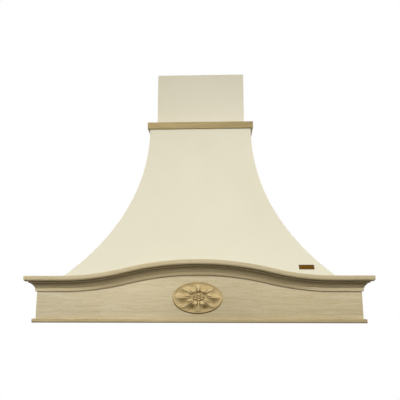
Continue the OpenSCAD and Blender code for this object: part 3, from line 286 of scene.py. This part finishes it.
def cast_motor():
    # Pressure-cast housing under grey lacquer: a pebbled skin with darker pits
    finish, tree, place = new_finish("lacquered_casting")
    pebbles = node(tree, "TexVoronoi", {"Vector": place, "Scale": 400}, feature="SMOOTH_F1")
    cloud = node(tree, "TexNoise", {"Vector": place, "Scale": 20, "Detail": 4})
    tone = node(tree, "ValToRGB", {"Fac": cloud.outputs["Fac"]}, [(0.3, "5f6367"), (0.7, "74787b")])
    relief = node(tree, "Bump", {"Height": pebbles.outputs["Distance"], "Strength": 0.4, "Distance": 0.5 * MM})
    gloss = node(tree, "MapRange", {"Value": cloud.outputs["Fac"], "To Min": 0.4, "To Max": 0.6})
    return completed(finish, tree, tone.outputs["Color"], gloss, relief, {"Metallic": 0.3})


PALE = ("c0b18b", "cdbf9d", "d7ccb0")
CREAM = ("b5a67e", "c2b28c", "cdbf9e")
SAND = ("a9976c", "b8a67c", "c4b38c")
HONEY = ("9a8555", "ae9966", "bca874")
pale_oak = oak("planed_oak", PALE, 0.6, 0, middle_shade_level=0.88, yellow=1)
pale_oak_side = oak("planed_oak_side", PALE, 0.6, 1)
cream_oak = oak("moulded_oak", CREAM, 0.55, 0)
cream_oak_side = oak("moulded_oak_side", CREAM, 0.55, 1)
sand_oak = oak("varnished_oak", SAND, 0.5, 0, 2.8 * MM)
sand_oak_side = oak("varnished_oak_side", SAND, 0.5, 1, 2.8 * MM)
honey_oak = oak("oiled_oak", HONEY, 0.45, 0)
honey_oak_side = oak("oiled_oak_side", HONEY, 0.45, 1)
carved = carved_wood()
enamel = plate_enamel()

# The finish of each of the record's material slots
FINISHES = {
    "ivory_paint": ivory_powder_coat(),
    "pale_oak": pale_oak,
    "carved_wood": carved,
    "honey_oak": honey_oak,
    "brown_enamel": enamel,
    "galvanised_steel": galvanised_steel(),
    "screw_steel": brushed_metal("bright_zinc_plate", "aeb1b6", "c6c8cb", 0.28, (400, 400, 400)),
    "filter_aluminium": brushed_metal("brushed_aluminium", "b4b6b8", "c9cbcc", 0.36, (20, 900, 900)),
    "mesh_aluminium": brushed_metal("expanded_aluminium", "97999b", "acaeb0", 0.42, (300, 300, 300)),
    "dark_plastic": moulded_plastic("black_nylon", "1b1b1d", "242426", 0.5, 1.0 * MM),
    "lamp_body": moulded_plastic("white_lamp_plastic", "d2d2cf", "dadad7", 0.4, 1.2 * MM),
    "lamp_glass": frosted_lens(),
    "bronze_paint": moulded_plastic("bronze_lacquer", "473f31", "544b3b", 0.38, 0.8 * MM),
    "button_plastic": moulded_plastic("ivory_button_plastic", "d5cfba", "ded9c6", 0.35, 1.0 * MM),
    "motor_iron": cast_motor(),
    "grey_plastic": moulded_plastic("pale_grey_plastic", "c5c5c3", "d0d0ce", 0.5, 1.2 * MM),
    "capacitor_can": moulded_plastic("white_can_plastic", "d9d9d6", "e2e2e0", 0.45, 1.2 * MM),
}

for part in frame["record"]["subparts"]:
    for place in frame["nodes"][part["node"]].material_slots:
        place.link = "OBJECT"
        place.material = FINISHES[part["material_slot"]]
for name, finish in (("lip_front", sand_oak), ("lip_left", sand_oak_side), ("lip_right", sand_oak_side)):
    frame["nodes"][name].material_slots[0].material = finish


# Modelling helpers

def swell(place, middle, width):
    """A smooth hill of height 1."""
    return math.exp(-((place - middle) / width) ** 2)


def rise(place, start, stop):
    """Goes smoothly from 0 to 1 between two places."""
    share = min(1, max(0, (place - start) / (stop - start)))
    return share * share * (3 - 2 * share)


def select(piece, mode, test):
    """Deselects everything, then selects the piece's faces, edges or points that pass the test."""
    bpy.ops.mesh.select_mode(type=mode)
    bpy.ops.mesh.select_all(action="DESELECT")
    bpy.ops.object.mode_set(mode="OBJECT")
    parts = {"FACE": piece.data.polygons, "EDGE": piece.data.edges, "VERT": piece.data.vertices}[mode]
    for part in parts:
        part.select = test(part)
    bpy.ops.object.mode_set(mode="EDIT")


def edge_middle(piece, edge):
    first, second = (piece.data.vertices[index].co for index in edge.vertices)
    return (first + second) / 2


def edge_way(piece, edge):
    first, second = (piece.data.vertices[index].co for index in edge.vertices)
    return (second - first).normalized()


def pick(*pieces):
    """Selects these pieces alone, and makes the first one active."""
    bpy.ops.object.select_all(action="DESELECT")
    for piece in pieces:
        piece.select_set(True)
    bpy.context.view_layer.objects.active = pieces[0]


def copy_node(name):
    """A merged copy of a CAD node, open in edit mode with everything selected."""
    piece = frame["nodes"][name].copy()
    piece.data = piece.data.copy()
    piece.parent = None
    for key in list(piece.keys()):
        del piece[key]
    scene.collection.objects.link(piece)
    pick(piece)
    bpy.ops.object.mode_set(mode="EDIT")
    bpy.ops.mesh.select_all(action="SELECT")
    bpy.ops.mesh.remove_doubles(threshold=MERGE)
    bpy.ops.mesh.dissolve_limited(angle_limit=math.radians(0.3))
    return piece


def complete(piece, name, finish, slot, body, *nodes):
    """Names a piece, gives it its finish, lets it ride on its body and hides the nodes that it stands for."""
    if piece.mode == "EDIT":
        bpy.ops.object.mode_set(mode="OBJECT")
    piece.name = piece.data.name = name
    piece.data.materials.clear()
    piece.data.materials.append(finish)
    pick(piece)
    bpy.ops.object.transform_apply(location=True, rotation=True, scale=True)
    bpy.ops.object.shade_smooth_by_angle(angle=math.radians(35))
    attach(piece, body)
    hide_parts(*nodes)


# Boards and neck trim, with eased edges

def eased(name, ease, finish, slot):
    """A copy of a CAD node whose sharp edges are rounded a little, as sandpaper leaves them."""
    piece = copy_node(name)
    bpy.ops.mesh.select_mode(type="EDGE")
    bpy.ops.mesh.select_all(action="DESELECT")
    bpy.ops.mesh.edges_select_sharp(sharpness=math.radians(60))
    bpy.ops.mesh.bevel(offset=ease, segments=2, profile=0.5, clamp_overlap=True)
    complete(piece, name + "_eased", finish, slot, "hood", name)


for name, finish in (("board_front", pale_oak), ("board_left", pale_oak_side), ("board_right", pale_oak_side)):
    eased(name, 0.8 * MM, finish, "pale_oak")
for name, finish in (("trim_front", honey_oak), ("trim_left", honey_oak_side), ("trim_right", honey_oak_side)):
    eased(name, 0.7 * MM, finish, "honey_oak")


# Crown moulding

def arc(middle, radius, start, stop, steps):
    """Points of an arc in section, between two angles in degrees."""
    turns = [math.radians(start + (stop - start) * step / steps) for step in range(steps + 1)]
    return [(middle[0] + radius * math.cos(turn), middle[1] + radius * math.sin(turn)) for turn in turns]


# Section of the crown in millimetres out from the board and up from its underside: foot, cove, thin bead and
# a band whose lower edge is a quarter round
CROWN_SECTION = [
    (0, 0), (3.6, 0), (4, 0.4), (4, 8.4),
    *arc((28.5, -0.9), 26, 158.5, 122, 9),
    *arc((17.7, 22.9), 0.9, -90, 90, 6),
    (17.6, 24.6), (18.4, 25),
    *arc((21.5, 31.5), 6.5, -90, 0, 10),
    *arc((26.2, 37.7), 1.8, 0, 90, 4),
    (0, 39.5),
]
# The foot stands out from the board by less than this
FOOT_DEPTH = 5 * MM


def crown_section(at_wall):
    """A circle whose points are moved to the crown's section, open in edit mode.

    It stands at the left end of the front crown, or at the wall on the right side.
    """
    bpy.ops.object.select_all(action="DESELECT")
    bpy.ops.mesh.primitive_circle_add(vertices=len(CROWN_SECTION), radius=0.02, fill_type="NGON")
    piece = bpy.context.object
    for point, (out, up) in zip(piece.data.vertices, CROWN_SECTION):
        if at_wall:
            point.co = (BOARD_HALF + out * MM, 0, CROWN_FOOT + up * MM)
        else:
            point.co = (-BOARD_HALF - SPARE, -BOARD_FRONT - out * MM, CROWN_FOOT + up * MM)
    bpy.ops.object.mode_set(mode="EDIT")
    bpy.ops.mesh.select_all(action="SELECT")
    return piece


def cut_mitre(side, outwards):
    """Cuts the corner on one side of the middle, and keeps the front piece's part or the side piece's."""
    bpy.ops.mesh.select_all(action="SELECT")
    bpy.ops.mesh.bisect(plane_co=(0, MITRE, 0), plane_no=(side * outwards, outwards, 0), use_fill=True,
                        clear_outer=True)


def close_moulding(piece):
    """Merges the bends' ends, and notes on each face how far it looks down, for the painted shade on such faces."""
    bpy.ops.mesh.select_all(action="SELECT")
    bpy.ops.mesh.remove_doubles(threshold=MERGE)
    bpy.ops.mesh.normals_make_consistent(inside=False)
    bpy.ops.object.mode_set(mode="OBJECT")
    under = piece.data.attributes.new("under", "FLOAT", "FACE")
    for face, mark in zip(piece.data.polygons, under.data):
        mark.value = max(0, -face.normal.z)


def crown_front():
    """The section drawn along the level ends and the arch, with both ends mitred."""
    piece = crown_section(False)
    level = BOARD_HALF + SPARE - ARCH_HALF
    bpy.ops.mesh.extrude_region_move(TRANSFORM_OT_translate={"value": (level, 0, 0)})
    bends = (
        (-ARCH_HALF, CROWN_FOOT + DIP_R, 1, 30),
        (0, CROWN_FOOT + ARCH_RISE - HUMP_R, -2, 60),
        (ARCH_HALF, CROWN_FOOT + DIP_R, 1, 30),
    )
    for x, z, angles, steps in bends:
        bpy.ops.mesh.spin(steps=steps, angle=angles * ARCH_ANGLE, center=(x, 0, z), axis=(0, 1, 0))
    bpy.ops.mesh.extrude_region_move(TRANSFORM_OT_translate={"value": (level, 0, 0)})
    cut_mitre(1, 1)
    cut_mitre(-1, 1)
    close_moulding(piece)
    # Painted shade: along the arch the foot is drawn darker as well
    for face, mark in zip(piece.data.polygons, piece.data.attributes["under"].data):
        if face.normal.y < -0.99 and face.center.y > -BOARD_FRONT - FOOT_DEPTH:
            mark.value = 0.66 * rise(ARCH_HALF - abs(face.center.x), 0, 0.13)
    complete(piece, "crown_front_moulding", cream_oak, "pale_oak", "hood", "crown_front")


def crown_side(name, side):
    """The section drawn from the wall to the front, mitred there and mirrored for the left side."""
    piece = crown_section(True)
    bpy.ops.mesh.extrude_region_move(TRANSFORM_OT_translate={"value": (0, -BOARD_FRONT - SPARE, 0)})
    cut_mitre(1, -1)
    if side < 0:
        bpy.ops.mesh.select_all(action="SELECT")
        bpy.ops.transform.mirror(constraint_axis=(True, False, False), center_override=(0, 0, 0))
    close_moulding(piece)
    complete(piece, name + "_moulding", cream_oak_side, "pale_oak", "hood", name)


crown_front()
crown_side("crown_left", -1)
crown_side("crown_right", 1)


# Carved rosette

# Half width, half height and height of the middle, in millimetres
ROSETTE_HALF_WIDTH = 65.5
ROSETTE_HALF_HEIGHT = 40.5
ROSETTE_MIDDLE = 63
# The carving stays just within the solid, which is 14 mm thick
ROSETTE_DEPTH = 13.8
# The flower's middle from the oval's, in shares of the oval's half width and half height
FLOWER_RIGHT = 0.045
FLOWER_UP = 0.03
# Half a petal's width, where the distance to the middle of the next leaf is 1
PETAL_HALF = 0.68
# Distances of the petals' crest and of the beads from the flower's middle, in shares of the way to the oval's edge
CREST = 0.44
BEAD_RING = 0.145
# Radii of the beads in the ring and of the one in the middle, in the same measure
BEAD_R = 0.07
MIDDLE_BEAD_R = 0.06
BEADS = 6


def relief(across, up):
    """Height of the carving over the board in millimetres, and how far dust and painted shade darken it there, from 0
    to 1.

    The place is given in shares of the oval's half width and half height.
    """
    edge = math.hypot(across, up)
    # The flower's middle lies a little above the oval's and to its right
    shift = 1 - min(1, edge) ** 2
    up -= FLOWER_UP * shift
    across -= FLOWER_RIGHT * shift
    reach = math.hypot(across, up)
    # Eight spoon-shaped petals and a leaf between each two: aside is 0 along a petal and 1 along a leaf
    sector = math.atan2(up, across) / (math.pi / 4) - 0.5
    aside = 2 * abs(sector - round(sector))
    length = rise(reach, 0.24, 0.34) * (1 - rise(reach, 0.8, 0.92))
    # The flower climbs out of the ring round the boss to a crest, and falls from it to the border
    crest = 4.5 + 8.2 * rise(reach, 0.23, CREST) - 6.5 * max(0, reach - CREST) / 0.42
    dish = 5.8 * max(0, 1 - (aside / PETAL_HALF) ** 2) * swell(reach, 0.66, 0.2)
    gap = swell(aside, PETAL_HALF, 0.11) * (2.8 * (1 - rise(reach, 0.42, 0.66)) + 1) * length
    leaf = 1.6 * swell(aside, 1, 0.24) * length
    flower = crest - dish - gap + leaf
    # Raised border, rounded towards the board
    border = 3.6 + 0.9 * swell(edge, 0.93, 0.025) - 2.4 * rise(edge, 0.95, 1)
    outside = rise(edge, 0.86, 0.92)
    height = flower * (1 - outside) + border * outside
    # Painted shade in the dishes of the lower petals, which look down, and dust and painted shade in the gaps between
    # petals
    lower_dish_shade = 0.04 + 0.14 * (1 - rise(up, -0.45, 0.05))
    hollow = min(1, gap * 0.36 + dish * lower_dish_shade) * (1 - outside)
    # Dust and painted shade in the corner between petals and border, a painted shadow on the border's lower edge and
    # painted shade on its upper part
    corner = 0.25 * swell(edge, 0.895, 0.02)
    lower_edge = rise(edge, 0.9, 0.98) * (1 - rise(up, -0.7, 0))
    upper_part = 0.55 * rise(edge, 0.8, 0.9) * rise(up, 0, 0.6)
    hollow = max(hollow, corner, lower_edge, upper_part)
    # Boss: a ring of beads round a middle one, in a deep round groove
    if reach < 0.3:
        beads = 0
        for bead in range(BEADS):
            way = (bead + 0.5) * 2 * math.pi / BEADS
            off = math.hypot(across - BEAD_RING * math.cos(way), up - BEAD_RING * math.sin(way))
            beads = max(beads, math.sqrt(max(0, 1 - (off / BEAD_R) ** 2)))
        middle = math.sqrt(max(0, 1 - (reach / MIDDLE_BEAD_R) ** 2))
        boss = 6 + 4.5 * max(beads, middle * 0.9)
        share = rise(reach, 0.22, 0.28)
        height = boss * (1 - share) + height * share
        # Dust and painted shade in the gaps round the beads
        hollow = 0.8 * (1 - max(beads, middle)) * (1 - share) + hollow * share
    return min(height, ROSETTE_DEPTH), min(1, hollow)


def rosette():
    """An oval disc of fine rings, whose points are lowered as a carver would."""
    rings, spokes = 96, 416
    bpy.ops.object.select_all(action="DESELECT")
    bpy.ops.mesh.primitive_grid_add(x_subdivisions=rings, y_subdivisions=1, size=1, location=(0.5, 0, 0))
    piece = bpy.context.object
    bpy.ops.object.transform_apply(location=True, rotation=True, scale=True)
    bpy.ops.object.mode_set(mode="EDIT")
    select(piece, "VERT", lambda point: point.co.y > 0)
    bpy.ops.mesh.delete(type="VERT")
    bpy.ops.mesh.select_all(action="SELECT")
    bpy.ops.transform.translate(value=(0, 0.5, 0))
    bpy.ops.mesh.spin(steps=spokes, angle=2 * math.pi, center=(0, 0, 0), axis=(0, 0, 1))
    bpy.ops.mesh.select_all(action="SELECT")
    bpy.ops.mesh.remove_doubles(threshold=0.1 * MM)
    # A straight edge down to the board closes the disc at the back
    select(piece, "VERT", lambda point: point.co.length > 0.9999)
    bpy.ops.mesh.extrude_region_move(TRANSFORM_OT_translate={"value": (0, 0, -1)})
    bpy.ops.mesh.edge_face_add()
    bpy.ops.object.mode_set(mode="OBJECT")
    hollow = piece.data.attributes.new("hollow", "FLOAT", "POINT")
    for point in piece.data.vertices:
        # Points at the foot of the wall down to the board get painted shade
        height, depth = (0, 0.8) if point.co.z < -0.5 else relief(point.co.x, point.co.y)
        hollow.data[point.index].value = depth
        point.co = (ROSETTE_HALF_WIDTH * MM * point.co.x, -BOARD_FRONT - height * MM,
                    (ROSETTE_MIDDLE + ROSETTE_HALF_HEIGHT * point.co.y) * MM)
    bpy.ops.object.mode_set(mode="EDIT")
    bpy.ops.mesh.select_all(action="SELECT")
    bpy.ops.mesh.normals_make_consistent(inside=False)
    bpy.ops.object.mode_set(mode="OBJECT")
    for point in piece.data.vertices:
        # Painted shade on the slopes that look down
        mark = hollow.data[point.index]
        mark.value = min(1, mark.value + 1.7 * max(0, -point.normal.z - 0.1))
    complete(piece, "rosette_carving", carved, "carved_wood", "hood", "rosette")


rosette()


# Blank plate with a raised border

PLATE_BORDER = 1.6 * MM
PLATE_STEP = 0.3 * MM
PLATE_DEPTH = 0.4 * MM


def blank_plate():
    """The plate with its field pressed in, which is marked for the enamel."""
    piece = copy_node("blank_plate")
    bpy.ops.object.mode_set(mode="OBJECT")
    # The arched outer face is one surface, so its mean normal picks it out
    outer = [face for face in piece.data.polygons if face.normal.y < -0.4]
    outwards = sum((face.normal * face.area for face in outer), Vector()).normalized()
    bpy.ops.object.mode_set(mode="EDIT")
    select(piece, "FACE", lambda face: face.normal.dot(outwards) > 0.9)
    bpy.ops.mesh.inset(thickness=PLATE_BORDER, depth=0)
    bpy.ops.mesh.inset(thickness=PLATE_STEP, depth=-PLATE_DEPTH)
    bpy.ops.object.mode_set(mode="OBJECT")
    inner = [face.select for face in piece.data.polygons]
    field = piece.data.attributes.new("field", "FLOAT", "FACE")
    for mark, chosen in zip(field.data, inner):
        mark.value = float(chosen)
    complete(piece, "blank_plate_pressed", enamel, "brown_enamel", "hood", "blank_plate")


blank_plate()


# Filter mesh: layers of expanded metal

# Diamonds in a row, and rows of them, on each sheet
DIAMONDS = (28, 34)
STRAND = 1.3 * MM
SHEET_PITCH = 1.6 * MM
LOWEST_SHEET = 0.9 * MM
# The sheets end this far inside the solid's box, and the square edges within the second distance stay as a border
HIDDEN_RIM = 2 * MM
SQUARE_RIM = 3 * MM


def filter_mesh(side):
    """Three offset sheets of diamonds 10 mm by 7 mm, each cut from a grid by removing its square edges."""
    node_name = f"filter_{side}_mesh"
    low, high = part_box(node_name)
    size = high - low
    middle = (low + high) / 2
    columns, rows = DIAMONDS
    bpy.ops.object.select_all(action="DESELECT")
    bpy.ops.mesh.primitive_grid_add(x_subdivisions=columns, y_subdivisions=rows, size=1,
                                    location=(middle.x, middle.y, low.z + LOWEST_SHEET))
    piece = bpy.context.object
    piece.scale = (size.x - 2 * HIDDEN_RIM, size.y - 2 * HIDDEN_RIM, 1)
    bpy.ops.object.transform_apply(location=True, rotation=True, scale=True)
    bpy.ops.object.mode_set(mode="EDIT")
    bpy.ops.mesh.select_all(action="SELECT")
    bpy.ops.mesh.poke()
    inside = (size.x / 2 - SQUARE_RIM, size.y / 2 - SQUARE_RIM)

    def is_square(edge):
        way = edge_way(piece, edge)
        place = edge_middle(piece, edge) - middle
        return min(abs(way.x), abs(way.y)) < 0.01 and abs(place.x) < inside[0] and abs(place.y) < inside[1]

    select(piece, "EDGE", is_square)
    bpy.ops.mesh.dissolve_edges(use_verts=False)
    bpy.ops.object.mode_set(mode="OBJECT")
    strands = piece.modifiers.new("strands", "WIREFRAME")
    strands.thickness = STRAND
    strands.use_even_offset = False
    bpy.ops.object.modifier_apply(modifier=strands.name)
    sheets = [piece]
    pitch = Vector((size.x / columns / 2, size.y / rows / 2, 0))
    for layer, shift in ((1, pitch * 0.5), (2, pitch * -0.5)):
        again = piece.copy()
        again.data = piece.data.copy()
        scene.collection.objects.link(again)
        for point in again.data.vertices:
            point.co += shift + Vector((0, 0, SHEET_PITCH * layer))
        sheets.append(again)
    pick(*sheets)
    bpy.ops.object.join()
    complete(piece, node_name + "_layers", FINISHES["mesh_aluminium"], "mesh_aluminium", f"filter_{side}",
             node_name)


filter_mesh("left")
filter_mesh("right")


# Camera

camera = bpy.data.objects.new("camera", bpy.data.cameras.new("camera"))
scene.collection.objects.link(camera)
camera.location = (0.0537, -1.79, 0.0738)
camera.rotation_euler = (math.radians(100.6), 0, math.radians(2.07))
camera.data.lens = 45
camera.data.sensor_width = 36
scene.camera = camera


# Floor, background and soft light

FLOOR = -2.1
WHITE = (1, 1, 1, 1)


def seen_directly(tree):
    """1 for rays from the camera or out of a mirror or a lens, and 0 for the light that falls on things."""
    path = node(tree, "LightPath")
    mirror = node(tree, "Math", {0: path.outputs["Is Camera Ray"], 1: path.outputs["Is Glossy Ray"]},
                  operation="MAXIMUM")
    lens = node(tree, "Math", {0: mirror.outputs["Value"], 1: path.outputs["Is Transmission Ray"]},
                operation="MAXIMUM")
    return lens.outputs["Value"]


def studio_floor():
    """A pale floor below the hood, which keeps its shadow and fades to white some metres away."""
    bpy.ops.mesh.primitive_plane_add(size=60, location=(0, 0, FLOOR))
    floor = bpy.context.object
    floor.name = "studio_floor"
    finish, tree, place = new_finish("studio_paper")
    seen = seen_directly(tree)
    glow = node(tree, "MapRange", {"Value": seen, "To Min": 0, "To Max": 0.5})
    light = node(tree, "Emission", {"Color": WHITE, "Strength": glow.outputs["Result"]})
    # The floor throws little light back, so that undersides stay dark
    grey = node(tree, "MapRange", {"Value": seen, "To Min": 0.05, "To Max": 0.8})
    paper = node(tree, "BsdfDiffuse", {"Color": grey.outputs["Result"]})
    near = node(tree, "AddShader", {0: light.outputs["Emission"], 1: paper.outputs["BSDF"]})
    far = node(tree, "Emission", {"Color": WHITE, "Strength": seen})
    reach = node(tree, "VectorMath", {0: place}, operation="LENGTH")
    fade = node(tree, "MapRange", {"Value": reach.outputs["Value"], "From Min": 1.2, "From Max": 4.8},
                interpolation_type="SMOOTHSTEP")
    mixed = node(tree, "MixShader", {0: fade.outputs["Result"], 1: near.outputs["Shader"],
                                     2: far.outputs["Emission"]})
    node(tree, "OutputMaterial", {"Surface": mixed.outputs["Shader"]})
    floor.data.materials.append(finish)


def studio_world():
    """White where it is seen, and a weak even light otherwise."""
    world = bpy.data.worlds.new("studio")
    world.use_nodes = True
    tree = world.node_tree
    tree.nodes.clear()
    strength = node(tree, "MapRange", {"Value": seen_directly(tree), "To Min": 0.28, "To Max": 1})
    sky = node(tree, "Background", {"Color": WHITE, "Strength": strength.outputs["Result"]})
    node(tree, "OutputWorld", {"Surface": sky.outputs["Background"]})
    scene.world = world


def lamp(name, kind, place, target, **settings):
    """A lamp that looks from one place to another."""
    light = bpy.data.objects.new(name, bpy.data.lights.new(name, kind))
    scene.collection.objects.link(light)
    light.location = place
    light.rotation_euler = (Vector(target) - Vector(place)).to_track_quat("-Z", "Y").to_euler()
    light.visible_camera = False
    for setting, value in settings.items():
        setattr(light.data, setting, value)


studio_floor()
studio_world()
# A softbox with a grid, whose beam is strongest on the surround
lamp("key", "AREA", (0.04, -1.9, 0.85), (0, -0.45, -0.05), shape="RECTANGLE", size=3.2, size_y=1.0,
     spread=math.radians(120), energy=20.2)
# Softboxes for the sides, the back and the underside, which don't reach the front
for name, place, power in (("left", (-2.4, 0.5, 0.8), 24), ("right", (2.4, 0.5, 0.8), 24),
                           ("back", (0, 2.6, 1), 24), ("under", (0, 0.6, -1.1), 7)):
    lamp(name, "AREA", place, (0, -0.1, 0.3), size=1.2, energy=power)

scene.view_settings.view_transform = "Standard"
